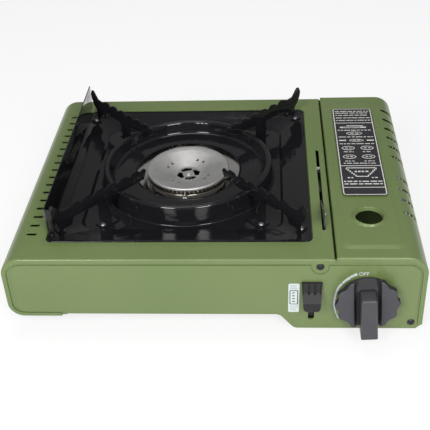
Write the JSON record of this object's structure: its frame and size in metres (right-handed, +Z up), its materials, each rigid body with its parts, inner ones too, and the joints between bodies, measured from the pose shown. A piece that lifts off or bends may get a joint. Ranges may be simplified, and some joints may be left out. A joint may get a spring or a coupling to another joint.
{
  "type": "butane cassette stove",
  "caption": "Portable butane cassette stove: sheet steel casing, lift-out drip tray with serrated pan supports, one burner, side-hinged cartridge lid, control knob and lock lever.",
  "frame": {"origin": "on the table, under the middle of the stove with its knob", "axes": "+X towards the cartridge bay, along the width; +Y from the front panel to the back; +Z up"},
  "size_m": [0.34, 0.292, 0.103],
  "materials": {
    "casing_paint": "satin olive green paint",
    "plated_steel": "zinc plated sheet steel",
    "black_enamel": "gloss black enamel",
    "bright_steel": "bright steel",
    "burner_steel": "brushed steel",
    "cast_aluminium": "die-cast, plain",
    "strip_aluminium": "plain strip",
    "jet_brass": "turned",
    "knob_plastic": "dark grey moulded plastic",
    "lever_plastic": "black moulded plastic",
    "igniter_plastic": "off-white moulded plastic",
    "lead_sleeve": "silicone sleeve",
    "electrode_ceramic": "unglazed white ceramic",
    "black_screws": "blackened steel",
    "foot_rubber": "black rubber"
  },
  "bodies": {
    "casing": {"body_shell": "casing_paint", "front_panel": "casing_paint", "rear_panel": "casing_paint", "bottom_plate": "casing_paint", "bay_partition": "plated_steel", "heat_strip": "strip_aluminium", "burner_bowl": "cast_aluminium", "port_ring": "burner_steel", "burner_cap": "burner_steel", "burner_reflector": "bright_steel", "electrode_insulator": "electrode_ceramic", "spark_wire": "bright_steel", "mixing_tube": "plated_steel", "burner_strap": "plated_steel", "regulator_body": "cast_aluminium", "regulator_socket": "plated_steel", "gas_jet": "jet_brass", "regulator_bracket": "plated_steel", "cartridge_guide": "plated_steel", "piezo_igniter": "igniter_plastic", "igniter_lead": "lead_sleeve", "lock_guide": "plated_steel", "blade_pivot_pin": "plated_steel", "lid_hinge_pin": "plated_steel", "lid_catch": "bright_steel", "panel_screws": "black_screws", "rubber_feet": "foot_rubber"},
    "tray": {"drip_tray": "black_enamel", "pan_support_rear_right": "black_enamel", "pan_support_rear_left": "black_enamel", "pan_support_front_left": "black_enamel", "pan_support_front_right": "black_enamel", "tray_rivets": "bright_steel", "wind_guard": "black_enamel"},
    "knob": {"control_knob": "knob_plastic", "valve_spindle": "jet_brass"},
    "lock": {"lock_lever": "lever_plastic", "lock_plate": "lever_plastic"},
    "fork": {"cartridge_fork": "plated_steel"},
    "blade": {"interlock_blade": "bright_steel"},
    "lid": {"cartridge_lid": "casing_paint"}
  },
  "joints": [
    {"name": "lid_hinge", "type": "hinge", "parent": "casing", "child": "lid", "pos_m": [0.1654, 0.012, 0.0076], "axis": [0, 1, 0], "range_deg": [0, 90]},
    {"name": "knob_turn", "type": "hinge", "parent": "casing", "child": "knob", "pos_m": [0.1233, -0.122, 0.038], "axis": [0, -1, 0], "range_deg": [0, 130]},
    {"name": "lock_slide", "type": "slide", "parent": "casing", "child": "lock", "axis": [0, 0, -1], "range_m": [0, 0.012]},
    {"name": "blade_drop", "type": "hinge", "parent": "casing", "child": "blade", "pos_m": [0.0874, 0.028, 0.064], "axis": [1, 0, 0], "range_deg": [0, 8]},
    {"name": "fork_slide", "type": "slide", "parent": "casing", "child": "fork", "axis": [0, -1, 0], "range_m": [0, 0.008]},
    {"name": "tray_lift", "type": "slide", "parent": "casing", "child": "tray", "axis": [0, 0, 1], "range_m": [0, 0.06]}
  ],
  "couplings": [
    {"joint": "blade_drop", "follows": "lock_slide", "rad_per_m": 11.6},
    {"joint": "fork_slide", "follows": "lock_slide", "ratio": 0.66}
  ]
}
